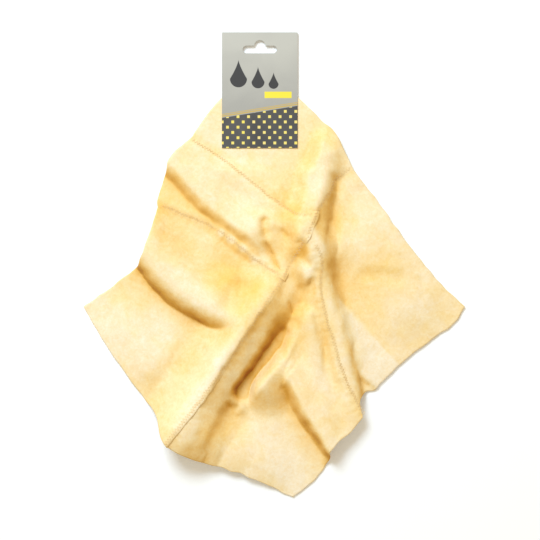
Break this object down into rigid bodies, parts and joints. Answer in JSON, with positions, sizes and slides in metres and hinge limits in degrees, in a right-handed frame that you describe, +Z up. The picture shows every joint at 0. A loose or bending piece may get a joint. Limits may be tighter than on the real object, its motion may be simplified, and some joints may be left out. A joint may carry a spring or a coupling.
{
  "type": "stitched chamois leather on a header card",
  "caption": "Pale chamois leather of lapped, zigzag-stitched panels lying in folds, its top corner stapled into a folded header card with a hanging slot and a front leaf that lifts.",
  "frame": {"origin": "on the table, under the middle of the part's bounding box", "axes": "+Z up from the table, +Y towards the header card, +X to the right when the card's printed face is seen from above with the card at the top"},
  "size_m": [0.3806, 0.4643, 0.0331],
  "materials": {
    "chamois": "soft suede nap, pale yellow",
    "sewing_thread": "cream sewing thread",
    "printed_board": "satin printed card, grey",
    "plain_board": "uncoated pale card",
    "staple_steel": "bright steel wire"
  },
  "bodies": {
    "leather_and_back": {"top_panel": "chamois", "upper_left_panel": "chamois", "left_panel": "chamois", "bottom_panel": "chamois", "right_panel": "chamois", "long_seam_needle_thread": "sewing_thread", "long_seam_bobbin_thread": "sewing_thread", "left_seam_needle_thread": "sewing_thread", "left_seam_bobbin_thread": "sewing_thread", "upper_seam_needle_thread": "sewing_thread", "upper_seam_bobbin_thread": "sewing_thread", "right_seam_needle_thread": "sewing_thread", "right_seam_bobbin_thread": "sewing_thread", "card_back_leaf": "plain_board", "left_staple": "staple_steel", "right_staple": "staple_steel"},
    "front_leaf": {"card_front_leaf": "printed_board"}
  },
  "joints": [
    {"name": "front_leaf_fold", "type": "hinge", "parent": "leather_and_back", "child": "front_leaf", "pos_m": [-0.0142, 0.2323, 0.00335], "axis": [-1, 0, 0], "range_deg": [0, 170]}
  ]
}
